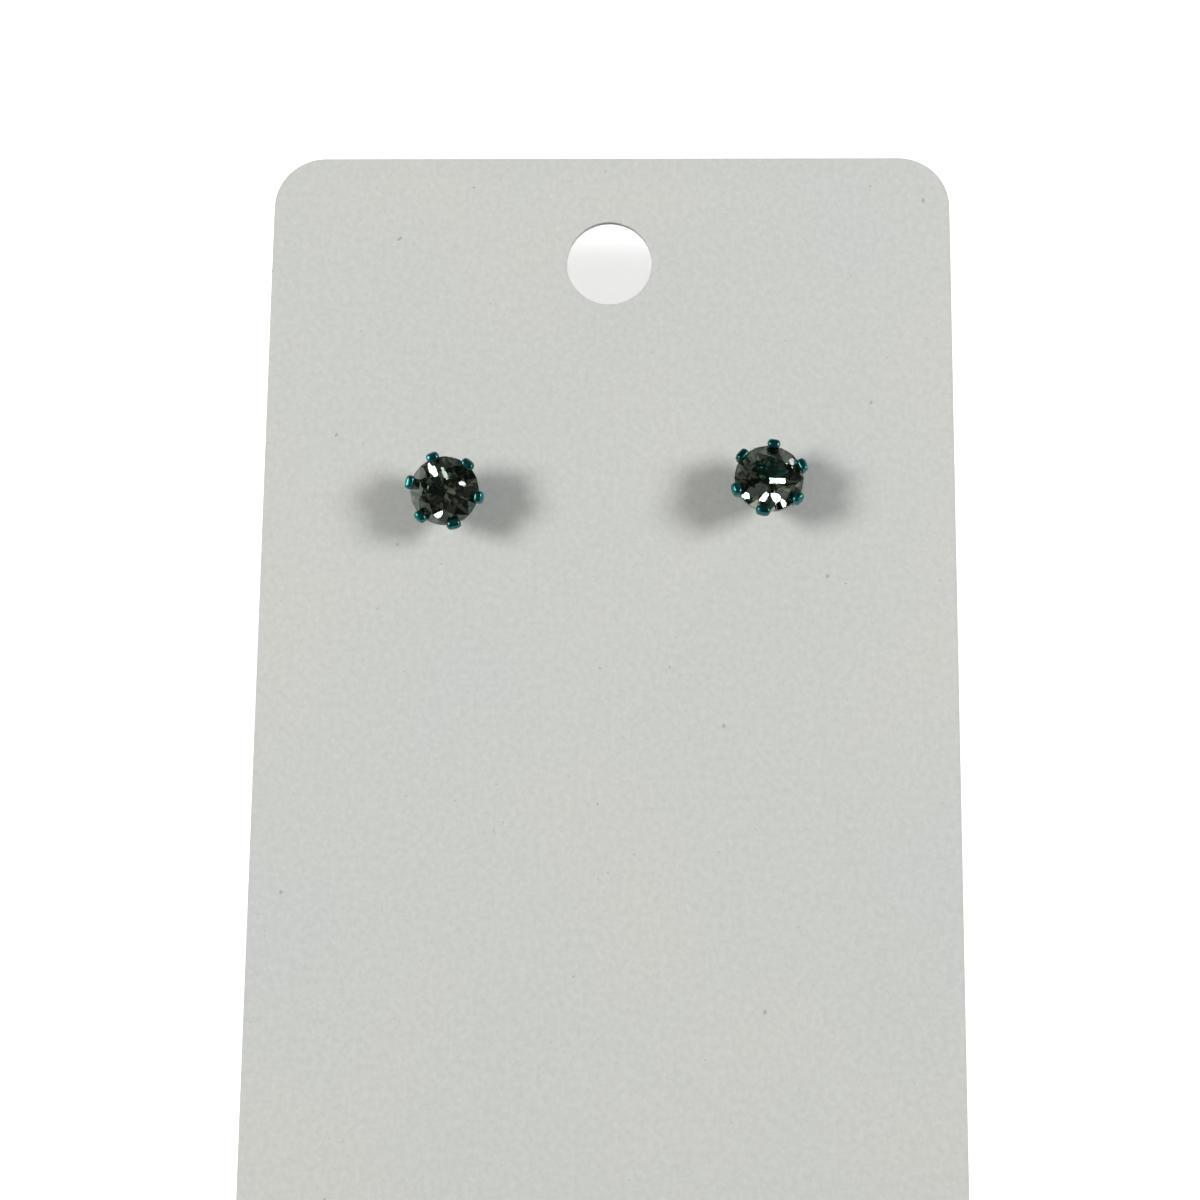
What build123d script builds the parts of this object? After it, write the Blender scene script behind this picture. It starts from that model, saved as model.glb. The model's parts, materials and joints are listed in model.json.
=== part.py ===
from build123d import *

import os
from math import cos, radians, sin, tan

# A pair of six-prong stud earrings on a plain display card, in millimetres.
# The card lies face up on a table. Its bottom edge and the tips of the two posts carry it, so it
# leans back a little, with the hang hole at the raised end. +X is to the right, +Y runs towards
# the hang hole and +Z is up. The origin is the middle of the object's box, on the table.

# Display card
card_width = 50.8
card_length = 88.9
card_thickness = 0.5
card_corner = 3.8
card_tilt = 8.0
hang_hole_radius = 3.175
hang_hole_below_top = 8.2
post_hole_radius = 0.5
studs_below_top = 25.86
stud_spacing = 23.0
studs_off_centre = 0.04

# Stone: a round brilliant, with proportions as fractions of its diameter or as facet angles
stone_radius = 2.45
table_share = 0.57
crown_angle = 34.5
pavilion_angle = 40.75
star_share = 0.5
lower_half_share = 0.77
girdle_thickness = 0.14
girdle_sides = 32

# Setting
girdle_above_base = 3.6
prong_count = 6
prong_width = 0.74
prong_thickness = 0.46
prong_outer_radius = 2.84
claw_reach = 2.1
claw_thickness = 0.36
prong_knee_round = 0.5
prong_edge_break = 0.1
claw_round = 0.3
prong_foot_radius = 0.85
cup_radius = 1.0
cup_foot_radius = 0.85
cup_height = 0.65
ring_width = 0.34
ring_height = 0.5
ring_flare = 0.2
ring_below_girdle = 0.5
ring_clearance = 0.06
seat_clearance = 0.03
post_radius = 0.4
notch_radius = 0.33
notch_length = 0.6
free_end_length = 2.6

# How the studs sit in the card
stud_lean = {"left": 7.0, "right": -7.0}
first_prong = {"left": 48.0, "right": 20.7}
stud_side = {"left": -1, "right": 1}
cup_above_card = 0.16

# Ear nut
nut_radius = 2.0
nut_length = 4.4
nut_edge_break = 0.4
nut_clearance = 0.04
nut_behind_card = 0.3

# The stone's corners: a main facet every 45 degrees, on crown and pavilion alike. A star point is
# where two mains, a star and two upper girdle facets meet, and a lower point is its like below.
sector = 45.0
half_sector = sector / 2
crown_slope = tan(radians(crown_angle))
pavilion_slope = tan(radians(pavilion_angle))
half_girdle = girdle_thickness / 2
table_radius = table_share * stone_radius
table_height = half_girdle + (stone_radius - table_radius) * crown_slope
culet_height = -half_girdle - stone_radius * pavilion_slope
table_edge_radius = table_radius * cos(radians(half_sector))
star_radius = table_edge_radius + star_share * (stone_radius - table_edge_radius)
star_height = half_girdle + (stone_radius - star_radius * cos(radians(half_sector))) * crown_slope
lower_radius = (1 - lower_half_share) * stone_radius
lower_height = -half_girdle - (stone_radius - lower_radius * cos(radians(half_sector))) * pavilion_slope

# The seat in the prongs is a turned hollow that the whole stone fits in, grown by the clearance
seat_crown_slope = (star_height - half_girdle) / (stone_radius - star_radius)
seat_pavilion_slope = (-half_girdle - lower_height) / (stone_radius - lower_radius)
seat_radius = stone_radius + seat_clearance
seat_high = girdle_above_base + half_girdle + seat_clearance
seat_low = girdle_above_base - half_girdle - seat_clearance
seat_foot = seat_low - seat_radius * seat_pavilion_slope
seat_top = seat_high + (seat_radius - star_radius) * seat_crown_slope

# The seat ring follows the prongs and stays just clear of the stone
ring_top = girdle_above_base - ring_below_girdle
ring_foot = ring_top - ring_height
ring_top_radius = (ring_top - seat_foot) / seat_pavilion_slope + ring_clearance
ring_foot_radius = ring_top_radius - ring_flare

nut_below_cup = cup_above_card + card_thickness + nut_behind_card

card_depth = card_length * cos(radians(card_tilt))
card_edge_depth = card_thickness * sin(radians(card_tilt))
card_plane = Plane(
    origin=(0, (card_edge_depth - card_depth) / 2, 0),
    x_dir=(1, 0, 0),
    z_dir=(0, -sin(radians(card_tilt)), cos(radians(card_tilt))),
)


def stud_pivot(side):
    """Middle of the card's post hole, where the stud's axis crosses the card."""
    across = studs_off_centre + stud_side[side] * stud_spacing / 2
    return card_plane.from_local_coords((across, card_length - studs_below_top, card_thickness / 2))


def stud_plane(side):
    """The stud's own frame: +Z out of the front along the post, origin under the base cup."""
    lean = radians(stud_lean[side] + card_tilt)
    axis = Vector(0, -sin(lean), cos(lean))
    above_pivot = card_thickness / 2 / cos(radians(stud_lean[side])) + cup_above_card
    return Plane(origin=stud_pivot(side) + axis * above_pivot, x_dir=(1, 0, 0), z_dir=axis)


def post_length(side):
    """From under the cup to the middle of the post's round tip, which rests on the table."""
    lean = radians(stud_lean[side] + card_tilt)
    return (stud_plane(side).origin.Z - post_radius) / cos(lean)


def corner(radius, azimuth, height):
    """A corner of the stone, by its distance from the axis, its direction and its height."""
    turn = radians(azimuth)
    return Vector(radius * cos(turn), radius * sin(turn), height)


def grind(a, b, c):
    """Cut the stone along the facet through three corners and keep the side with its middle."""
    normal = (b - a).cross(c - a)
    if normal.dot(a) < 0:
        normal = normal * -1
    split(bisect_by=Plane(origin=a, z_dir=normal), keep=Keep.BOTTOM)


def make_stone():
    """Round brilliant about the middle of its girdle, table up."""
    with BuildPart() as stone:
        with BuildSketch(Plane.XY.offset(culet_height)):
            RegularPolygon(radius=stone_radius, side_count=girdle_sides)
        extrude(amount=table_height - culet_height)
        culet = Vector(0, 0, culet_height)
        for step in range(8):
            main = sector * step
            middle = main + half_sector
            star = corner(star_radius, middle, star_height)
            last_star = corner(star_radius, middle - sector, star_height)
            lower = corner(lower_radius, middle, lower_height)
            last_lower = corner(lower_radius, middle - sector, lower_height)
            table = corner(table_radius, main, table_height)
            next_table = corner(table_radius, main + sector, table_height)
            grind(last_star, star, corner(stone_radius, main, half_girdle))
            grind(last_lower, lower, culet)
            grind(table, next_table, star)
            for start in (main, middle):
                end = start + half_sector
                for apex, level in ((star, half_girdle), (lower, -half_girdle)):
                    grind(apex, corner(stone_radius, start, level), corner(stone_radius, end, level))
    return stone


def make_prong():
    """One prong in the XZ plane, flaring out of the cup and folded over the stone's edge."""
    flare_foot = cup_height / 2
    flare_top = girdle_above_base - half_girdle
    flare = (prong_outer_radius - prong_foot_radius) / (flare_top - flare_foot)
    foot_width = prong_thickness * (1 + flare**2) ** 0.5
    inner_radius = prong_outer_radius - prong_thickness
    claw_foot = seat_high + (seat_radius - claw_reach) * seat_crown_slope
    claw_top = claw_foot + claw_thickness
    with BuildPart() as prong:
        with BuildSketch(Plane.XZ):
            with BuildLine():
                Polyline(
                    (claw_reach, claw_top),
                    (claw_reach, claw_foot),
                    (inner_radius, girdle_above_base),
                    (inner_radius, flare_top),
                    (prong_foot_radius - foot_width, flare_foot),
                    (prong_foot_radius, flare_foot),
                    (prong_outer_radius, flare_top),
                    (prong_outer_radius, claw_top),
                    close=True,
                )
            make_face()
        extrude(amount=prong_width / 2, both=True)
        across = prong.edges().filter_by(Axis.Y)
        knee = across.sort_by(Axis.X).filter_by_position(Axis.Z, flare_top - 0.01, flare_top + 0.01)[-1]
        crest = across.group_by(Axis.Z)[-1]
        fillet(knee, radius=prong_knee_round)
        fillet(crest, radius=claw_round)
        side_edges = prong.faces().filter_by(Axis.Y).edges()
        chamfer(side_edges, length=prong_edge_break)
    return prong


def make_setting(first_azimuth, length):
    """Six prongs, seat ring, base cup and post as one soldered piece, origin under the cup."""
    free_end_top = -length + free_end_length
    notch_top = free_end_top + notch_length
    prong = make_prong()
    with BuildPart() as setting:
        # Base cup and post, turned, with the rounded friction notch that an ear nut snaps into
        with BuildSketch(Plane.XZ):
            with BuildLine():
                Polyline(
                    (0, -length - post_radius),
                    (0, cup_height),
                    (cup_radius, cup_height),
                    (cup_foot_radius, 0),
                    (post_radius, 0),
                    (post_radius, notch_top),
                )
                ThreePointArc(
                    (post_radius, notch_top),
                    (notch_radius, (notch_top + free_end_top) / 2),
                    (post_radius, free_end_top),
                )
                Line((post_radius, free_end_top), (post_radius, -length))
                RadiusArc((post_radius, -length), (0, -length - post_radius), post_radius)
            make_face()
        revolve(axis=Axis.Z)
        # Seat ring, a coned band between the prongs under the stone
        with BuildSketch(Plane.XZ):
            with BuildLine():
                Polyline(
                    (ring_foot_radius, ring_foot),
                    (ring_foot_radius + ring_width, ring_foot),
                    (ring_top_radius + ring_width, ring_top),
                    (ring_top_radius, ring_top),
                    close=True,
                )
            make_face()
        revolve(axis=Axis.Z)
        with PolarLocations(0, prong_count, start_angle=first_azimuth):
            add(prong)
        # Notches burred into the prongs for the stone's edge
        with BuildSketch(Plane.XZ):
            with BuildLine():
                Polyline(
                    (0, seat_foot),
                    (seat_radius, seat_low),
                    (seat_radius, seat_high),
                    (star_radius, seat_top),
                    (0, seat_top),
                    close=True,
                )
            make_face()
        revolve(axis=Axis.Z, mode=Mode.SUBTRACT)
    return setting


def make_nut(behind_cup):
    """Silicone barrel on the post, with its front this far below the cup."""
    with BuildPart() as nut:
        with BuildSketch(Plane.XY.offset(-behind_cup)):
            Circle(nut_radius)
        extrude(amount=-nut_length)
        chamfer(nut.edges(), length=nut_edge_break)
        with BuildSketch(Plane.XY.offset(-behind_cup)):
            Circle(post_radius + nut_clearance)
        extrude(amount=-nut_length, mode=Mode.SUBTRACT)
    return nut


with BuildPart(card_plane) as card:
    with BuildSketch(card_plane):
        with Locations((0, card_length / 2)):
            RectangleRounded(card_width, card_length, card_corner)
        with Locations((0, card_length - hang_hole_below_top)):
            Circle(hang_hole_radius, mode=Mode.SUBTRACT)
        with Locations((studs_off_centre, card_length - studs_below_top)):
            with GridLocations(stud_spacing, 0, 2, 1):
                Circle(post_hole_radius, mode=Mode.SUBTRACT)
    extrude(amount=card_thickness)

os.makedirs("parts", exist_ok=True)
card.part.label = "card"
export_step(card.part, "parts/card.step")

for side in stud_side:
    with BuildPart(stud_plane(side)) as setting:
        add(make_setting(first_prong[side], post_length(side)))
    setting.part.label = f"setting_{side}"
    export_step(setting.part, f"parts/setting_{side}.step")

    with BuildPart(stud_plane(side).offset(girdle_above_base)) as stone:
        add(make_stone())
    stone.part.label = f"stone_{side}"
    export_step(stone.part, f"parts/stone_{side}.step")

    with BuildPart(stud_plane(side)) as ear_nut:
        add(make_nut(nut_below_cup))
    ear_nut.part.label = f"ear_nut_{side}"
    export_step(ear_nut.part, f"parts/ear_nut_{side}.step")
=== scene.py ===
import bmesh
import bpy
import json
import math
from mathutils import Matrix, Vector

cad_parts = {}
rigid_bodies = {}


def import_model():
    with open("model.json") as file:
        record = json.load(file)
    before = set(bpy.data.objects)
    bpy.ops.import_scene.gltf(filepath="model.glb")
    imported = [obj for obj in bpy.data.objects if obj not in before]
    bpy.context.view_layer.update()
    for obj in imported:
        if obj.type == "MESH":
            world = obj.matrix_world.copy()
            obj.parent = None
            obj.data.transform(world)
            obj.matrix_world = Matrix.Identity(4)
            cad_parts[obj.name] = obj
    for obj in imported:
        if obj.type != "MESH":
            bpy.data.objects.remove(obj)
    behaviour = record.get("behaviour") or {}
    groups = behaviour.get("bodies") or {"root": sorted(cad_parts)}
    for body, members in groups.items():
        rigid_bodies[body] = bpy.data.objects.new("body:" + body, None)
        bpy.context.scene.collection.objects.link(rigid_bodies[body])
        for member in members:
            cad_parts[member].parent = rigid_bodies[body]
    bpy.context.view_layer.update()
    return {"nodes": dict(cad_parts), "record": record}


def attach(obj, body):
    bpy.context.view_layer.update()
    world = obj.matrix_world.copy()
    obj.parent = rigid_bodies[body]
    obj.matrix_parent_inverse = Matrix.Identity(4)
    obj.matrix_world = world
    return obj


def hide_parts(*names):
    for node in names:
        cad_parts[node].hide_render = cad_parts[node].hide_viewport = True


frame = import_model()

# ---------------------------------------------------------------------------------------------
# Display card. One piece of pale grey uncoated board, die cut with rounded corners, with a
# punched hang hole and two small holes for the posts. Drawn in millimetres, as all pieces are,
# with X across, Y up from the bottom edge and Z out of the face, then laid back into its place.
# ---------------------------------------------------------------------------------------------
mm = 0.001
card_width = 50.8
card_length = 88.9
card_thickness = 0.5
card_corner = 3.8
card_edge_wear = 0.06
hang_hole_radius = 3.175
hang_hole_below_top = 8.2
post_hole_radius = 0.5
board_warm = (0.612, 0.617, 0.577, 1)
board_cool = (0.592, 0.609, 0.586, 1)
board_core = (0.640, 0.630, 0.580, 1)
board_fleck = (0.330, 0.320, 0.290, 1)

mounts = {mount["name"]: mount for mount in frame["record"]["mounts"]}
hang_hole = Vector(mounts["hang_hole"]["pos_m"])
card_out = Vector(mounts["hang_hole"]["axis"]).normalized()
card_across = Vector((1, 0, 0))
card_up = card_out.cross(card_across)
card_foot = (
    hang_hole
    - card_up * (card_length - hang_hole_below_top) * mm
    - card_out * card_thickness / 2 * mm
)


def clear_selection():
    """Leave nothing selected, so that an operator acts on the new piece alone."""
    if bpy.context.object and bpy.context.object.mode == "EDIT":
        bpy.ops.object.mode_set(mode="OBJECT")
    bpy.ops.object.select_all(action="DESELECT")


def pick_edges(piece, wanted):
    """In edit mode, select those edges of the piece for which wanted says yes, and nothing else."""
    bpy.ops.mesh.select_all(action="DESELECT")
    drawing = bmesh.from_edit_mesh(piece.data)
    for edge in drawing.edges:
        if wanted(*(vertex.co for vertex in edge.verts)):
            edge.select_set(True)
    bmesh.update_edit_mesh(piece.data)


def apply_modifier(piece, kind, **settings):
    """Add one modifier to the piece and apply it."""
    bpy.context.view_layer.objects.active = piece
    modifier = piece.modifiers.new(kind.lower(), kind)
    for setting, value in settings.items():
        setattr(modifier, setting, value)
    bpy.ops.object.modifier_apply(modifier=modifier.name)


def cut_away(piece, cutter):
    """Cut the cutter's shape out of the piece and throw the cutter away."""
    apply_modifier(piece, "BOOLEAN", operation="DIFFERENCE", solver="EXACT", object=cutter)
    bpy.data.objects.remove(cutter)


def settle(piece, across, up, out, origin):
    """Bring a piece drawn in millimetres to its real size and its place on the object."""
    clear_selection()
    piece.select_set(True)
    bpy.context.view_layer.objects.active = piece
    axes = Matrix((across, up, out)).transposed().to_4x4()
    piece.matrix_world = Matrix.Translation(origin) @ axes @ Matrix.Scale(mm, 4)
    bpy.ops.object.transform_apply(location=True, rotation=True, scale=True)


def new_finish(name):
    """A new material: its nodes, its links and its shader."""
    finish = bpy.data.materials.new(name)
    finish.use_nodes = True
    return finish, finish.node_tree.nodes, finish.node_tree.links, finish.node_tree.nodes["Principled BSDF"]


clear_selection()
bpy.ops.mesh.primitive_cube_add(size=1, location=(0, card_length / 2, card_thickness / 2))
card = bpy.context.object
card.name = "display_card"
card.scale = (card_width, card_length, card_thickness)
bpy.ops.object.transform_apply(location=True, rotation=True, scale=True)
bpy.ops.object.mode_set(mode="EDIT")
pick_edges(card, lambda start, end: abs(start.z - end.z) > card_thickness / 2)
bpy.ops.mesh.bevel(offset=card_corner, segments=18, affect="EDGES")
clear_selection()

stud_places = {}
for side in ("left", "right"):
    post_end = Vector(mounts[f"post_{side}"]["pos_m"])
    stud_axis = -Vector(mounts[f"post_{side}"]["axis"]).normalized()
    rise = (hang_hole - post_end).dot(card_out) / stud_axis.dot(card_out)
    stud_places[side] = (post_end + stud_axis * rise, stud_axis)

holes = [(0, card_length - hang_hole_below_top, hang_hole_radius, 128)]
for pivot, stud_axis in stud_places.values():
    from_foot = pivot - card_foot
    holes.append((from_foot.dot(card_across) / mm, from_foot.dot(card_up) / mm, post_hole_radius, 48))
for x, y, radius, sides in holes:
    bpy.ops.mesh.primitive_cylinder_add(
        vertices=sides, radius=radius, depth=4 * card_thickness, location=(x, y, 0)
    )
    punch = bpy.context.object
    cut_away(card, punch)
apply_modifier(
    card, "BEVEL", width=card_edge_wear, segments=3, limit_method="ANGLE", angle_limit=math.radians(50)
)
settle(card, card_across, card_up, card_out, card_foot)
bpy.ops.object.shade_smooth_by_angle(angle=math.radians(20))

board, nodes, links, shader = new_finish("grey_board")
place = nodes.new("ShaderNodeTexCoord")
level = nodes.new("ShaderNodeMapping")
level.vector_type = "TEXTURE"
level.inputs["Location"].default_value = card_foot
level.inputs["Rotation"].default_value = (math.atan2(card_up.z, card_up.y), 0, 0)
links.new(place.outputs["Object"], level.inputs["Vector"])

cloud = nodes.new("ShaderNodeTexNoise")
cloud.inputs["Scale"].default_value = 45
cloud.inputs["Detail"].default_value = 2
cloud_tint = nodes.new("ShaderNodeValToRGB")
cloud_tint.color_ramp.elements[0].position = 0.35
cloud_tint.color_ramp.elements[0].color = board_cool
cloud_tint.color_ramp.elements[1].position = 0.65
cloud_tint.color_ramp.elements[1].color = board_warm
pulp = nodes.new("ShaderNodeTexNoise")
pulp.inputs["Scale"].default_value = 2200
pulp.inputs["Detail"].default_value = 6
pulp.inputs["Roughness"].default_value = 0.7
pulp_shade = nodes.new("ShaderNodeMapRange")
pulp_shade.inputs["From Min"].default_value = 0.3
pulp_shade.inputs["From Max"].default_value = 0.7
pulp_shade.inputs["To Min"].default_value = 0.93
pulp_shade.inputs["To Max"].default_value = 1.07
mottle = nodes.new("ShaderNodeVectorMath")
mottle.operation = "SCALE"
for node in (cloud, pulp):
    links.new(level.outputs["Vector"], node.inputs["Vector"])
links.new(cloud.outputs["Fac"], cloud_tint.inputs["Fac"])
links.new(pulp.outputs["Fac"], pulp_shade.inputs["Value"])
links.new(cloud_tint.outputs["Color"], mottle.inputs[0])
links.new(pulp_shade.outputs["Result"], mottle.inputs["Scale"])

# Flecks in the pulp: small dark grains, and short fibres that lie every way in the sheet
ragged = nodes.new("ShaderNodeVectorMath")
ragged.operation = "MULTIPLY_ADD"
ragged.inputs[1].default_value = (0.5 * mm, 0.5 * mm, 0)
links.new(pulp.outputs["Color"], ragged.inputs[0])
links.new(level.outputs["Vector"], ragged.inputs[2])
fleck_mask = None
for cell, stretch, turn, reach, rare in (
    (14.0, 1.5, 0.9, 0.012, 0.80),
    (5.0, 1.0, 0.0, 0.018, 0.95),
    (3.2, 5.0, 0.4, 0.034, 0.96),
    (3.6, 4.0, 2.2, 0.034, 0.97),
):
    spread = nodes.new("ShaderNodeMapping")
    spread.vector_type = "TEXTURE"
    spread.inputs["Rotation"].default_value = (0, 0, turn)
    spread.inputs["Scale"].default_value = (cell * mm, cell * mm / stretch, 1)
    grain = nodes.new("ShaderNodeTexVoronoi")
    grain.voronoi_dimensions = "2D"
    grain.inputs["Scale"].default_value = 1
    near = nodes.new("ShaderNodeMath")
    near.operation = "LESS_THAN"
    near.inputs[1].default_value = reach
    chosen = nodes.new("ShaderNodeSeparateColor")
    some = nodes.new("ShaderNodeMath")
    some.operation = "GREATER_THAN"
    some.inputs[1].default_value = rare
    both = nodes.new("ShaderNodeMath")
    both.operation = "MULTIPLY"
    links.new(ragged.outputs["Vector"], spread.inputs["Vector"])
    links.new(spread.outputs["Vector"], grain.inputs["Vector"])
    links.new(grain.outputs["Distance"], near.inputs[0])
    links.new(grain.outputs["Color"], chosen.inputs["Color"])
    links.new(chosen.outputs["Red"], some.inputs[0])
    links.new(near.outputs["Value"], both.inputs[0])
    links.new(some.outputs["Value"], both.inputs[1])
    if fleck_mask is None:
        fleck_mask = both
    else:
        either = nodes.new("ShaderNodeMath")
        either.operation = "MAXIMUM"
        links.new(fleck_mask.outputs["Value"], either.inputs[0])
        links.new(both.outputs["Value"], either.inputs[1])
        fleck_mask = either
fleck_depth = nodes.new("ShaderNodeMath")
fleck_depth.operation = "MULTIPLY"
fleck_depth.inputs[1].default_value = 0.65
flecked = nodes.new("ShaderNodeMix")
flecked.data_type = "RGBA"
flecked.inputs["B"].default_value = board_fleck
links.new(fleck_mask.outputs["Value"], fleck_depth.inputs[0])
links.new(fleck_depth.outputs["Value"], flecked.inputs["Factor"])
links.new(mottle.outputs["Vector"], flecked.inputs["A"])

# The cut edge shows the plies of the board as fine lines that run along it
plies = nodes.new("ShaderNodeMapping")
plies.inputs["Scale"].default_value = (250, 250, 14000)
ply = nodes.new("ShaderNodeTexNoise")
ply.inputs["Scale"].default_value = 1
ply.inputs["Detail"].default_value = 2
ply_shade = nodes.new("ShaderNodeMapRange")
ply_shade.inputs["From Min"].default_value = 0.3
ply_shade.inputs["From Max"].default_value = 0.7
ply_shade.inputs["To Min"].default_value = 0.90
ply_shade.inputs["To Max"].default_value = 1.06
core = nodes.new("ShaderNodeVectorMath")
core.operation = "SCALE"
core.inputs[0].default_value = board_core[:3]
height = nodes.new("ShaderNodeSeparateXYZ")
from_middle = nodes.new("ShaderNodeMath")
from_middle.operation = "SUBTRACT"
from_middle.inputs[1].default_value = card_thickness / 2 * mm
off_middle = nodes.new("ShaderNodeMath")
off_middle.operation = "ABSOLUTE"
on_edge = nodes.new("ShaderNodeMapRange")
on_edge.inputs["From Min"].default_value = (card_thickness / 2 - card_edge_wear) * mm
on_edge.inputs["From Max"].default_value = (card_thickness / 2 - card_edge_wear / 4) * mm
on_edge.inputs["To Min"].default_value = 1
on_edge.inputs["To Max"].default_value = 0
skin = nodes.new("ShaderNodeMix")
skin.data_type = "RGBA"
links.new(level.outputs["Vector"], plies.inputs["Vector"])
links.new(plies.outputs["Vector"], ply.inputs["Vector"])
links.new(ply.outputs["Fac"], ply_shade.inputs["Value"])
links.new(ply_shade.outputs["Result"], core.inputs["Scale"])
links.new(level.outputs["Vector"], height.inputs["Vector"])
links.new(height.outputs["Z"], from_middle.inputs[0])
links.new(from_middle.outputs["Value"], off_middle.inputs[0])
links.new(off_middle.outputs["Value"], on_edge.inputs["Value"])
links.new(on_edge.outputs["Result"], skin.inputs["Factor"])
links.new(flecked.outputs["Result"], skin.inputs["A"])
links.new(core.outputs["Vector"], skin.inputs["B"])
links.new(skin.outputs["Result"], shader.inputs["Base Color"])

dull = nodes.new("ShaderNodeMapRange")
dull.inputs["To Min"].default_value = 0.78
dull.inputs["To Max"].default_value = 0.95
tooth = nodes.new("ShaderNodeBump")
tooth.inputs["Strength"].default_value = 0.35
tooth.inputs["Distance"].default_value = 0.02 * mm
links.new(pulp.outputs["Fac"], dull.inputs["Value"])
links.new(dull.outputs["Result"], shader.inputs["Roughness"])
links.new(pulp.outputs["Fac"], tooth.inputs["Height"])
links.new(tooth.outputs["Normal"], shader.inputs["Normal"])
shader.inputs["Specular IOR Level"].default_value = 0.3

card.data.materials.clear()
card.data.materials.append(board)
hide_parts("card")
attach(card, "root")

# ---------------------------------------------------------------------------------------------
# Settings. Each is cast in one piece: six prongs that flare out of a small base cup and fold
# over the stone's edge as rounded claws, a seat ring between them, and a straight ear post with
# a rounded friction notch. The metal is polished and coated a glossy teal.
# ---------------------------------------------------------------------------------------------
girdle_height = 3.6
half_girdle = 0.07
stone_radius = 2.45
seat_clearance = 0.02
prong_count = 6
cup_above_card = 0.16
first_prong = {"left": 48.0, "right": 20.7}
post_radius = 0.4
notch_radius = 0.33
notch_length = 0.6
free_end_length = 2.6

# Height, inner and outer distance from the post's line, and width, from the foot to the claw
prong_steps = (
    (0.10, 0.28, 0.84, 0.62),
    (0.40, 0.40, 0.98, 0.66),
    (1.40, 1.06, 1.57, 0.70),
    (2.50, 1.75, 2.24, 0.74),
    (3.10, 2.15, 2.62, 0.80),
    (3.45, 2.32, 2.78, 0.86),
    (3.68, 2.37, 2.84, 0.91),
    (3.86, 2.27, 2.86, 0.96),
    (4.02, 2.15, 2.85, 0.99),
    (4.17, 2.14, 2.80, 0.95),
    (4.29, 2.21, 2.70, 0.80),
    (4.34, 2.32, 2.59, 0.52),
)
# How far each prong is turned from its even place, in degrees, and how wide it is beside the first
prong_turns = (0, 1.4, -1.0, 0.6, -1.6, 1.1)
prong_widths = (1, 0.94, 1.03, 0.97, 1.05, 0.96)


def turned(steps, sides):
    """A solid of revolution about the Z axis, through these heights and radii from bottom to top."""
    clear_selection()
    height, radius = steps[0]
    bpy.ops.mesh.primitive_circle_add(
        vertices=sides, radius=radius, fill_type="NGON", location=(0, 0, height)
    )
    piece = bpy.context.object
    bpy.ops.object.transform_apply(location=True, rotation=True, scale=True)
    bpy.ops.object.mode_set(mode="EDIT")
    for next_height, next_radius in steps[1:]:
        bpy.ops.mesh.extrude_region_move(TRANSFORM_OT_translate={"value": (0, 0, next_height - height)})
        bpy.ops.transform.resize(
            value=(next_radius / radius, next_radius / radius, 1), center_override=(0, 0, next_height)
        )
        height, radius = next_height, next_radius
    bpy.ops.mesh.select_all(action="SELECT")
    bpy.ops.mesh.normals_make_consistent(inside=False)
    bpy.ops.object.mode_set(mode="OBJECT")
    return piece


clear_selection()
height, inner, outer, width = prong_steps[0]
bpy.ops.mesh.primitive_plane_add(size=1)
prong = bpy.context.object
bpy.ops.object.mode_set(mode="EDIT")
bpy.ops.mesh.bevel(offset=0.36, segments=3, affect="VERTICES")
bpy.ops.mesh.select_all(action="SELECT")
bpy.ops.transform.resize(value=(outer - inner, width, 1), center_override=(0, 0, 0))
bpy.ops.transform.translate(value=((inner + outer) / 2, 0, height))
for next_height, next_inner, next_outer, next_width in prong_steps[1:]:
    middle, next_middle = (inner + outer) / 2, (next_inner + next_outer) / 2
    bpy.ops.mesh.extrude_region_move(
        TRANSFORM_OT_translate={"value": (next_middle - middle, 0, next_height - height)}
    )
    bpy.ops.transform.resize(
        value=((next_outer - next_inner) / (outer - inner), next_width / width, 1),
        center_override=(next_middle, 0, next_height),
    )
    height, inner, outer, width = next_height, next_inner, next_outer, next_width
bpy.ops.mesh.select_all(action="SELECT")
bpy.ops.mesh.normals_make_consistent(inside=False)
bpy.ops.object.mode_set(mode="OBJECT")
apply_modifier(prong, "SUBSURF", levels=2, render_levels=2)

# The seat ring: an upright band, flared to follow the prongs, with soft edges
ring_foot, ring_top = 2.62, 3.06
ring_foot_radius, ring_top_radius = 1.72, 1.90
ring_wall = 0.34
clear_selection()
bpy.ops.mesh.primitive_circle_add(vertices=96, radius=ring_foot_radius, location=(0, 0, ring_foot))
ring = bpy.context.object
bpy.ops.object.transform_apply(location=True, rotation=True, scale=True)
bpy.ops.object.mode_set(mode="EDIT")
bpy.ops.mesh.extrude_edges_move(TRANSFORM_OT_translate={"value": (0, 0, ring_top - ring_foot)})
flare = ring_top_radius / ring_foot_radius
bpy.ops.transform.resize(value=(flare, flare, 1), center_override=(0, 0, ring_top))
bpy.ops.mesh.select_all(action="SELECT")
bpy.ops.mesh.normals_make_consistent(inside=False)
bpy.ops.object.mode_set(mode="OBJECT")
apply_modifier(ring, "SOLIDIFY", thickness=ring_wall, offset=1)
apply_modifier(ring, "BEVEL", width=0.08, segments=2, limit_method="ANGLE", angle_limit=math.radians(50))

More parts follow.
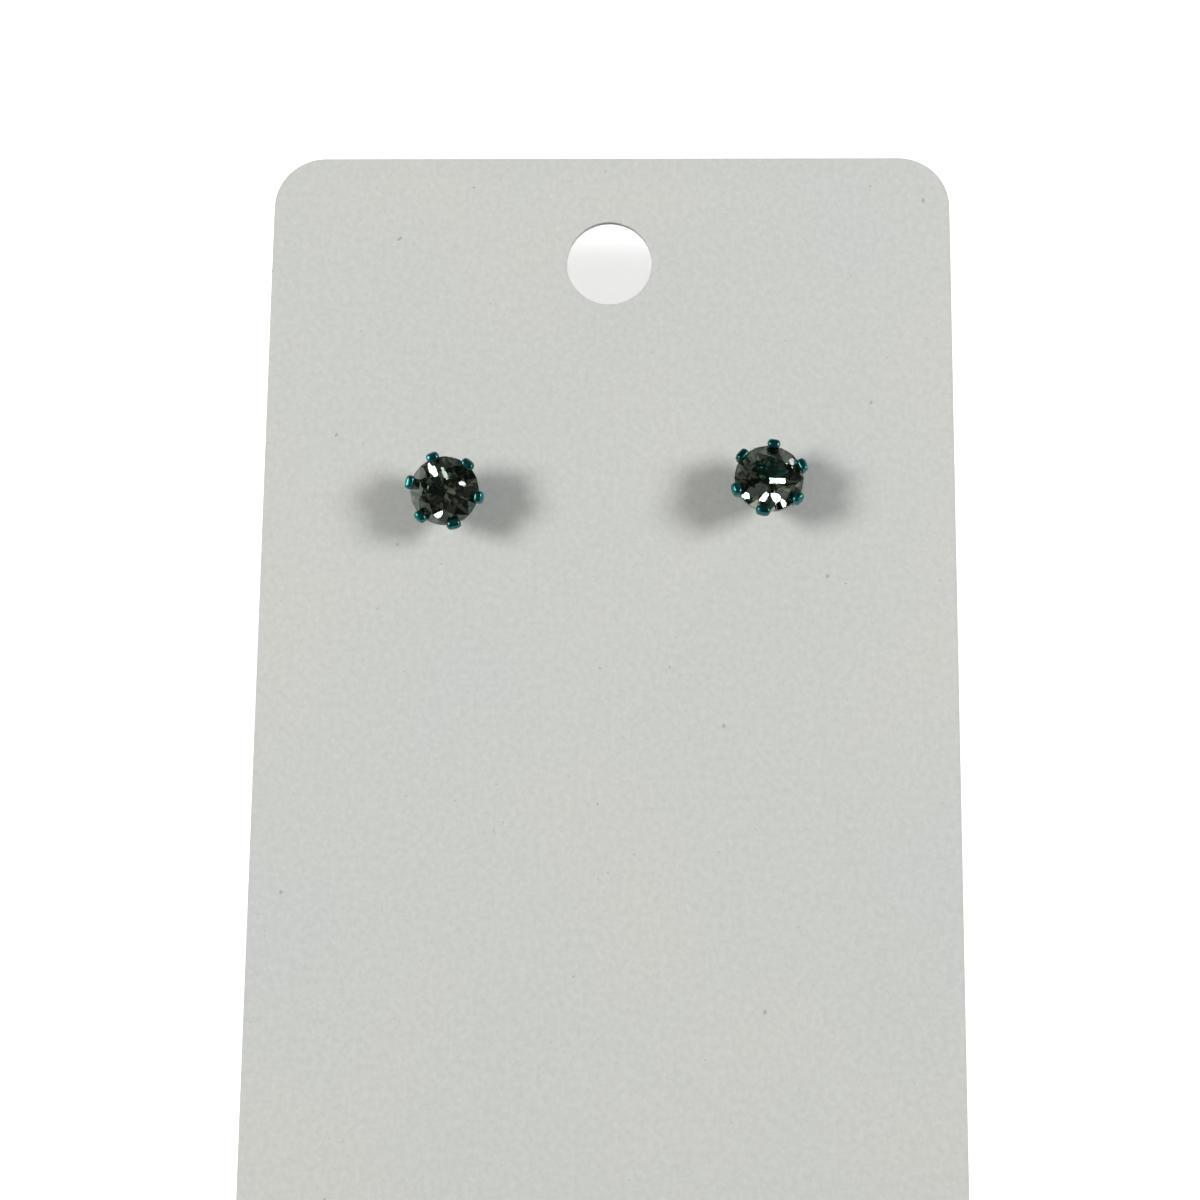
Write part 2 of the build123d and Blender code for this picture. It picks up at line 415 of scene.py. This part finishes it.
# Cup and post in one turning, down to the round tip. The shorter post is the one that is drawn.
post_lengths = {}
for side, (pivot, stud_axis) in stud_places.items():
    out_of_card = stud_axis.dot(card_out)
    under_cup = pivot + stud_axis * (card_thickness / 2 / out_of_card + cup_above_card) * mm
    stud_places[side] = (under_cup, stud_axis)
    reach = (under_cup - Vector(mounts[f"post_{side}"]["pos_m"])).dot(stud_axis)
    post_lengths[side] = reach / mm + free_end_length / 2
length = min(post_lengths.values())
tip = [
    (-length - post_radius * math.cos(math.radians(angle)), post_radius * math.sin(math.radians(angle)))
    for angle in (4, 15, 30, 45, 60, 75, 90)
]
notch_foot = -length + free_end_length
notch_depth = post_radius - notch_radius
notch = [
    (notch_foot + notch_length * step / 6, post_radius - notch_depth * math.sin(math.pi * step / 6))
    for step in range(7)
]
cup_foot = [(-0.02, post_radius), (0, 0.80), (0.06, 0.86)]
cup_rim = [(0.50, 0.97), (0.62, 0.93), (0.70, 0.80), (0.66, 0.20)]
post = turned(tip + notch + cup_foot + cup_rim, 48)

basket = [post, ring, prong]
for step in range(1, prong_count):
    clear_selection()
    prong.select_set(True)
    bpy.context.view_layer.objects.active = prong
    bpy.ops.object.duplicate()
    turned_prong = bpy.context.object
    turned_prong.scale.y = prong_widths[step]
    turned_prong.rotation_euler.z = math.tau * step / prong_count + math.radians(prong_turns[step])
    bpy.ops.object.transform_apply(location=True, rotation=True, scale=True)
    basket.append(turned_prong)
clear_selection()
for piece in basket:
    piece.select_set(True)
bpy.context.view_layer.objects.active = post
bpy.ops.object.join()
setting = bpy.context.object
melt_size = 0.05
apply_modifier(setting, "REMESH", mode="VOXEL", voxel_size=melt_size)
apply_modifier(setting, "SMOOTH", factor=0.5, iterations=3)
hand_finish = bpy.data.textures.new("hand_finish", "CLOUDS")
hand_finish.noise_scale = 0.45
basket_only = setting.vertex_groups.new(name="basket")
basket_only.add([vertex.index for vertex in setting.data.vertices if vertex.co.z > 0.3], 1, "REPLACE")
apply_modifier(setting, "DISPLACE", texture=hand_finish, strength=0.05, vertex_group="basket")
setting.vertex_groups.clear()

# The seat is burred into the prongs with a cutter of the stone's own shape
pavilion_depth = 2.19
crown_rise = 0.61
crown_top_radius = 1.86
bur = turned(
    (
        (girdle_height - half_girdle - pavilion_depth, 0.04),
        (girdle_height - half_girdle - seat_clearance, stone_radius + seat_clearance),
        (girdle_height + half_girdle + seat_clearance, stone_radius + seat_clearance),
        (girdle_height + crown_rise, crown_top_radius),
    ),
    64,
)
cut_away(setting, bur)

# Only what hangs together with the post's tip is kept, so no crumb of the cut is left
bpy.ops.object.mode_set(mode="EDIT")
bpy.ops.mesh.select_all(action="SELECT")
bpy.ops.mesh.remove_doubles(threshold=0.001)
bpy.ops.mesh.dissolve_degenerate(threshold=0.0005)
pick_edges(setting, lambda start, end: max(start.z, end.z) < -length + post_radius / 2)
bpy.ops.mesh.select_linked()
bpy.ops.mesh.select_all(action="INVERT")
bpy.ops.mesh.delete(type="VERT")
bpy.ops.object.mode_set(mode="OBJECT")

teal_dark = (0.004, 0.075, 0.072, 1)
teal_light = (0.020, 0.180, 0.175, 1)
teal, nodes, links, shader = new_finish("teal_coated_metal")
place = nodes.new("ShaderNodeTexCoord")
drift = nodes.new("ShaderNodeTexNoise")
drift.inputs["Scale"].default_value = 900
drift.inputs["Detail"].default_value = 2
drift_tint = nodes.new("ShaderNodeValToRGB")
drift_tint.color_ramp.elements[0].position = 0.35
drift_tint.color_ramp.elements[0].color = teal_dark
drift_tint.color_ramp.elements[1].position = 0.65
drift_tint.color_ramp.elements[1].color = teal_light
polish = nodes.new("ShaderNodeTexNoise")
polish.inputs["Scale"].default_value = 5000
polish.inputs["Detail"].default_value = 3
polish_range = nodes.new("ShaderNodeMapRange")
polish_range.inputs["To Min"].default_value = 0.20
polish_range.inputs["To Max"].default_value = 0.40
dents = nodes.new("ShaderNodeBump")
dents.inputs["Strength"].default_value = 0.2
dents.inputs["Distance"].default_value = 0.01 * mm
for node in (drift, polish):
    links.new(place.outputs["Object"], node.inputs["Vector"])
links.new(drift.outputs["Fac"], drift_tint.inputs["Fac"])
links.new(drift_tint.outputs["Color"], shader.inputs["Base Color"])
links.new(polish.outputs["Fac"], polish_range.inputs["Value"])
links.new(polish_range.outputs["Result"], shader.inputs["Roughness"])
links.new(polish.outputs["Fac"], dents.inputs["Height"])
links.new(dents.outputs["Normal"], shader.inputs["Normal"])
shader.inputs["Metallic"].default_value = 1.0
shader.inputs["Coat Weight"].default_value = 0.4
shader.inputs["Coat Roughness"].default_value = 0.12

for side, (under_cup, stud_axis) in stud_places.items():
    clear_selection()
    setting.select_set(True)
    bpy.context.view_layer.objects.active = setting
    bpy.ops.object.duplicate()
    stud = bpy.context.object
    stud.name = f"teal_setting_{side}"
    bpy.ops.object.mode_set(mode="EDIT")
    metal = bmesh.from_edit_mesh(stud.data)
    for vertex in metal.verts:
        vertex.select_set(vertex.co.z < -1)
    metal.select_flush_mode()
    bmesh.update_edit_mesh(stud.data)
    bpy.ops.transform.translate(value=(0, 0, length - post_lengths[side]))
    bpy.ops.object.mode_set(mode="OBJECT")
    stud.rotation_euler.z = math.radians(first_prong[side])
    bpy.ops.object.transform_apply(location=True, rotation=True, scale=True)
    settle(stud, card_across, stud_axis.cross(card_across), stud_axis, under_cup)
    bpy.ops.object.shade_smooth_by_angle(angle=math.radians(40))
    stud.data.materials.clear()
    stud.data.materials.append(teal)
    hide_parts(f"setting_{side}")
    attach(stud, "root")
bpy.data.objects.remove(setting)

# ---------------------------------------------------------------------------------------------
# Stones. Round brilliants of smoky grey crystal, cut with flat facets and held in the prongs with
# nothing behind them. The facets have the faint haze of the polishing lap, and the narrow girdle
# between them is left ground and frosted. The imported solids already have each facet.
# ---------------------------------------------------------------------------------------------
stone_index = 1.70
facet_haze = 0.015
girdle_frost = 0.45
for side, (under_cup, stud_axis) in stud_places.items():
    smoky, nodes, links, shader = new_finish(f"smoky_crystal_{side}")
    place = nodes.new("ShaderNodeTexCoord")
    upright = nodes.new("ShaderNodeMapping")
    upright.vector_type = "TEXTURE"
    upright.inputs["Location"].default_value = under_cup + stud_axis * girdle_height * mm
    stone_axes = Matrix((card_across, stud_axis.cross(card_across), stud_axis)).transposed()
    upright.inputs["Rotation"].default_value = stone_axes.to_euler()
    height = nodes.new("ShaderNodeSeparateXYZ")
    off_girdle = nodes.new("ShaderNodeMath")
    off_girdle.operation = "ABSOLUTE"
    frosted = nodes.new("ShaderNodeMapRange")
    frosted.inputs["From Min"].default_value = half_girdle * 0.9 * mm
    frosted.inputs["From Max"].default_value = half_girdle * 1.05 * mm
    frosted.inputs["To Min"].default_value = girdle_frost
    frosted.inputs["To Max"].default_value = 0
    lap = nodes.new("ShaderNodeTexNoise")
    lap.inputs["Scale"].default_value = 1500
    lap.inputs["Detail"].default_value = 4
    lap_haze = nodes.new("ShaderNodeMapRange")
    lap_haze.inputs["From Min"].default_value = 0.4
    lap_haze.inputs["From Max"].default_value = 0.7
    lap_haze.inputs["To Max"].default_value = facet_haze
    rough = nodes.new("ShaderNodeMath")
    rough.operation = "MAXIMUM"
    links.new(place.outputs["Object"], upright.inputs["Vector"])
    links.new(upright.outputs["Vector"], height.inputs["Vector"])
    links.new(height.outputs["Z"], off_girdle.inputs[0])
    links.new(off_girdle.outputs["Value"], frosted.inputs["Value"])
    links.new(upright.outputs["Vector"], lap.inputs["Vector"])
    links.new(lap.outputs["Fac"], lap_haze.inputs["Value"])
    links.new(frosted.outputs["Result"], rough.inputs[0])
    links.new(lap_haze.outputs["Result"], rough.inputs[1])
    links.new(rough.outputs["Value"], shader.inputs["Roughness"])
    shader.inputs["Base Color"].default_value = (1, 1, 1, 1)
    shader.inputs["IOR"].default_value = stone_index
    shader.inputs["Specular Tint"].default_value = (0.85, 1, 0.88, 1)
    shader.inputs["Transmission Weight"].default_value = 1.0
    smoke = nodes.new("ShaderNodeVolumeAbsorption")
    smoke.inputs["Color"].default_value = (0.46, 0.53, 0.42, 1)
    smoke.inputs["Density"].default_value = 480
    links.new(smoke.outputs["Volume"], nodes["Material Output"].inputs["Volume"])
    for slot in frame["nodes"][f"stone_{side}"].material_slots:
        slot.material = smoky

# ---------------------------------------------------------------------------------------------
# Ear nuts. Moulded barrels of clear silicone with round shoulders, pushed on from behind until
# they press the card against the studs, gripping the posts by friction.
# ---------------------------------------------------------------------------------------------
nut_radius = 2.0
nut_length = 4.4
nut_behind_card = 0.3
nut_bore = 0.44
silicone, nodes, links, shader = new_finish("clear_silicone")
place = nodes.new("ShaderNodeTexCoord")
haze = nodes.new("ShaderNodeTexNoise")
haze.inputs["Scale"].default_value = 700
haze.inputs["Detail"].default_value = 4
haze_range = nodes.new("ShaderNodeMapRange")
haze_range.inputs["To Min"].default_value = 0.22
haze_range.inputs["To Max"].default_value = 0.42
ripple = nodes.new("ShaderNodeBump")
ripple.inputs["Strength"].default_value = 0.3
ripple.inputs["Distance"].default_value = 0.03 * mm
links.new(place.outputs["Object"], haze.inputs["Vector"])
links.new(haze.outputs["Fac"], haze_range.inputs["Value"])
links.new(haze_range.outputs["Result"], shader.inputs["Roughness"])
links.new(haze.outputs["Fac"], ripple.inputs["Height"])
links.new(ripple.outputs["Normal"], shader.inputs["Normal"])
shader.inputs["Base Color"].default_value = (0.86, 0.86, 0.84, 1)
shader.inputs["IOR"].default_value = 1.41
shader.inputs["Transmission Weight"].default_value = 0.75

nut_front = -(cup_above_card + card_thickness + nut_behind_card)
nut_back = nut_front - nut_length
nut_round = 0.42
shoulder = []
for angle in (0, 22.5, 45, 67.5, 90):
    bend = math.radians(angle)
    from_end = nut_round * (1 - math.sin(bend))
    shoulder.append((from_end, nut_radius - nut_round * (1 - math.cos(bend))))

for side, (under_cup, stud_axis) in stud_places.items():
    behind = [(nut_back + from_end, radius) for from_end, radius in reversed(shoulder)]
    before = [(nut_front - from_end, radius) for from_end, radius in shoulder]
    nut = turned(behind + before, 72)
    nut.name = f"silicone_nut_{side}"
    countersink = [(nut_back - 0.1, 0.80), (nut_back, 0.70), (nut_back + 0.35, nut_bore)]
    mouth = [(nut_front - 0.2, nut_bore), (nut_front + 0.05, 0.62)]
    hole = turned(countersink + mouth, 40)
    cut_away(nut, hole)
    settle(nut, card_across, stud_axis.cross(card_across), stud_axis, under_cup)
    bpy.ops.object.shade_smooth_by_angle(angle=math.radians(35))
    nut.data.materials.clear()
    nut.data.materials.append(silicone)
    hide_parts(f"ear_nut_{side}")
    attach(nut, "root")

# ---------------------------------------------------------------------------------------------
# Table. A large sheet of smooth white laminate, which stays white where it is seen directly or
# through and in the polished pieces, keeps the card's shadow and is white to its far edges.
# ---------------------------------------------------------------------------------------------
clear_selection()
bpy.ops.mesh.primitive_plane_add(size=3.0)
table = bpy.context.object
table.name = "table_top"
laminate, nodes, links, shader = new_finish("white_laminate")
shader.inputs["Base Color"].default_value = (0.95, 0.95, 0.95, 1)
shader.inputs["Roughness"].default_value = 0.9
shader.inputs["Emission Color"].default_value = (1, 1, 1, 1)
rays = nodes.new("ShaderNodeLightPath")
seen = nodes.new("ShaderNodeMath")
seen.operation = "MAXIMUM"
seen_anyhow = nodes.new("ShaderNodeMath")
seen_anyhow.operation = "MAXIMUM"
place = nodes.new("ShaderNodeTexCoord")
reach = nodes.new("ShaderNodeVectorMath")
reach.operation = "LENGTH"
far_glow = nodes.new("ShaderNodeMapRange")
far_glow.inputs["From Min"].default_value = 0.15
far_glow.inputs["From Max"].default_value = 0.90
far_glow.inputs["To Min"].default_value = 0.60
far_glow.inputs["To Max"].default_value = 1.0
glow = nodes.new("ShaderNodeMath")
glow.operation = "MULTIPLY"
links.new(place.outputs["Object"], reach.inputs[0])
links.new(reach.outputs["Value"], far_glow.inputs["Value"])
links.new(far_glow.outputs["Result"], glow.inputs[1])
links.new(rays.outputs["Is Camera Ray"], seen.inputs[0])
links.new(rays.outputs["Is Glossy Ray"], seen.inputs[1])
links.new(seen.outputs["Value"], seen_anyhow.inputs[0])
links.new(rays.outputs["Is Transmission Ray"], seen_anyhow.inputs[1])
links.new(seen_anyhow.outputs["Value"], glow.inputs[0])
links.new(glow.outputs["Value"], shader.inputs["Emission Strength"])
table.data.materials.append(laminate)

# ---------------------------------------------------------------------------------------------
# Camera. It looks down at the card's face from above its middle, nearly square to it.
# ---------------------------------------------------------------------------------------------
card_face = hang_hole + card_out * card_thickness / 2 * mm
bpy.ops.object.camera_add()
camera = bpy.context.object
camera.data.lens = 45
camera.data.sensor_width = 36
camera.data.clip_start = 1 * mm
camera.location = card_face + card_across * 2.7 * mm - card_up * 39.1 * mm + card_out * 108.2 * mm
card_axes = Matrix((card_across, -card_up, -card_out)).transposed()
turn = (
    Matrix.Rotation(math.radians(0.37), 3, "Z")
    @ Matrix.Rotation(math.radians(1.65), 3, "Y")
    @ Matrix.Rotation(math.radians(-7.2), 3, "X")
)
camera.rotation_euler = (card_axes @ turn.transposed() @ Matrix.Diagonal((1, -1, -1))).to_euler()
bpy.context.scene.camera = camera

# ---------------------------------------------------------------------------------------------
# Light. A pale room, bright near the horizon and dim overhead, and a soft round lamp on either
# side of the card. The two lamps don't show in the stones, which only the room and a few small
# lamps far off light up.
# ---------------------------------------------------------------------------------------------
room = bpy.data.worlds.new("pale_room")
room.use_nodes = True
bpy.context.scene.world = room
nodes, links = room.node_tree.nodes, room.node_tree.links
facing = nodes.new("ShaderNodeTexCoord")
rise = nodes.new("ShaderNodeSeparateXYZ")
fade = nodes.new("ShaderNodeMapRange")
fade.inputs["From Min"].default_value = 0.10
fade.inputs["From Max"].default_value = 0.26
ceiling = nodes.new("ShaderNodeTexNoise")
ceiling.inputs["Scale"].default_value = 4.0
ceiling.inputs["Detail"].default_value = 2
ceiling_shade = nodes.new("ShaderNodeValToRGB")
ceiling_shade.color_ramp.elements[0].position = 0.50
ceiling_shade.color_ramp.elements[0].color = (0.012, 0.012, 0.012, 1)
ceiling_shade.color_ramp.elements[1].position = 0.66
ceiling_shade.color_ramp.elements[1].color = (0.42, 0.42, 0.40, 1)
surroundings = nodes.new("ShaderNodeMix")
surroundings.data_type = "RGBA"
surroundings.inputs["A"].default_value = (1, 1, 1, 1)
backdrop = nodes.new("ShaderNodeMix")
backdrop.data_type = "RGBA"
backdrop.inputs["B"].default_value = (1, 1, 1, 1)
rays = nodes.new("ShaderNodeLightPath")
links.new(facing.outputs["Generated"], rise.inputs["Vector"])
links.new(facing.outputs["Generated"], ceiling.inputs["Vector"])
links.new(rise.outputs["Z"], fade.inputs["Value"])
links.new(ceiling.outputs["Fac"], ceiling_shade.inputs["Fac"])
links.new(fade.outputs["Result"], surroundings.inputs["Factor"])
links.new(ceiling_shade.outputs["Color"], surroundings.inputs["B"])
links.new(surroundings.outputs["Result"], backdrop.inputs["A"])
links.new(rays.outputs["Is Camera Ray"], backdrop.inputs["Factor"])
links.new(backdrop.outputs["Result"], nodes["Background"].inputs["Color"])

between_studs = card_face + card_up * (stud_places["left"][0] - hang_hole).dot(card_up)
lamp_distance = 0.55
lamp_width = 0.20
lamp_power = 1.98
beside_lamps = bpy.data.collections.new("kept_out_of_lamps")
for side in stud_places:
    beside_lamps.objects.link(frame["nodes"][f"stone_{side}"])
for stone in beside_lamps.collection_objects:
    stone.light_linking.link_state = "EXCLUDE"
for name, beam in (("lamp_left", (-1, -0.10, 1.02)), ("lamp_right", (1, 0.02, 0.90))):
    beam = Vector(beam).normalized() * lamp_distance
    bpy.ops.object.light_add(type="AREA", location=between_studs + beam)
    lamp = bpy.context.object
    lamp.name = name
    lamp.data.shape = "DISK"
    lamp.data.size = lamp_width
    lamp.data.energy = lamp_power
    lamp.rotation_euler = beam.to_track_quat("Z", "Y").to_euler()
    lamp.visible_camera = False
    lamp.light_linking.receiver_collection = beside_lamps

# Small bright lamps a long way off, which the facets mirror as sparks. A spark has its place on a
# stone as on a clock's face, by the hour and by the share of the way out to the girdle, and then a
# length, a width, a tilt in degrees and a brightness. Each facet that it crosses has a lamp of its
# own, where that facet mirrors it.
sparks = (
    ("right", 3.5, 0.25, 1.1, 0.4, 0, 2.0),
    ("right", 5.25, 0.70, 1.4, 0.6, 135, 2.0),
    ("right", 6.5, 0.60, 1.1, 0.4, 55, 1.6),
    ("right", 7.75, 0.85, 0.6, 0.5, 150, 1.6),
    ("right", 1.75, 0.85, 0.5, 0.4, 110, 0.45),
    ("right", 7.5, 0.50, 1.6, 0.9, 20, 0.04),
    ("right", 4.5, 0.60, 1.0, 0.9, 150, 0.06),
    ("left", 11, 0.70, 1.1, 0.5, 120, 2.0),
    ("left", 12, 0.50, 1.0, 0.3, 115, 0.7),
    ("left", 2.25, 0.55, 0.5, 0.3, 165, 1.2),
    ("left", 6.5, 0.70, 0.8, 0.5, 45, 1.2),
    ("left", 9.5, 0.80, 2.4, 1.1, 80, 0.1),
)
# The share of the light that a facet sends back when it is looked at squarely
straight_back = ((stone_index - 1) / (stone_index + 1)) ** 2


def mirrored(spot, facet, facing):
    """The point a metre off that the camera sees in a facet's plane when it looks at the spot."""
    sight = (spot - camera.location).normalized()
    on_plane = camera.location + sight * (facet - camera.location).dot(facing) / sight.dot(facing)
    return on_plane + sight.reflect(facing)


bpy.context.view_layer.update()
for side, hour, share_out, length, width, tilt, brightness in sparks:
    under_cup, stud_axis = stud_places[side]
    stone = frame["nodes"][f"stone_{side}"]
    up = stud_axis.cross(card_across)
    clock_hand = up * math.cos(math.tau * hour / 12) + card_across * math.sin(math.tau * hour / 12)
    middle = under_cup + (stud_axis * girdle_height + clock_hand * share_out * stone_radius) * mm
    slope = math.radians(tilt)
    along = (card_across * math.cos(slope) + up * math.sin(slope)) * length / 2 * mm
    over = (up * math.cos(slope) - card_across * math.sin(slope)) * width / 2 * mm
    facets = {}
    for share in (-0.8, -0.4, 0, 0.4, 0.8):
        sight = middle + along * share - camera.location
        found, facet, facing = stone.ray_cast(camera.location, sight)[:3]
        if found:
            facets[tuple(round(part, 2) for part in facing)] = (facet, facing)
    for facet, facing in facets.values():
        place_out = mirrored(middle, facet, facing)
        if place_out.z < between_studs.z:
            continue
        long_side = mirrored(middle + along, facet, facing) - mirrored(middle - along, facet, facing)
        short_side = mirrored(middle + over, facet, facing) - mirrored(middle - over, facet, facing)
        sight = (facet - camera.location).normalized()
        sent_back = straight_back + (1 - straight_back) * (1 + sight.dot(facing)) ** 5
        away = sight.reflect(facing)
        across = (long_side - away * long_side.dot(away)).normalized()
        bpy.ops.object.light_add(type="AREA", location=place_out)
        lamp = bpy.context.object
        lamp.name = "spark"
        lamp.data.shape = "RECTANGLE" if tilt == 0 else "ELLIPSE"
        lamp.data.size = long_side.length
        lamp.data.size_y = short_side.length
        power_for_size = math.pi**2 / 4 * long_side.length * short_side.length
        lamp.data.energy = brightness / sent_back * power_for_size
        lamp.rotation_euler = Matrix((across, away.cross(across), away)).transposed().to_euler()
        lamp.visible_camera = False
bpy.context.scene.view_settings.view_transform = "Standard"
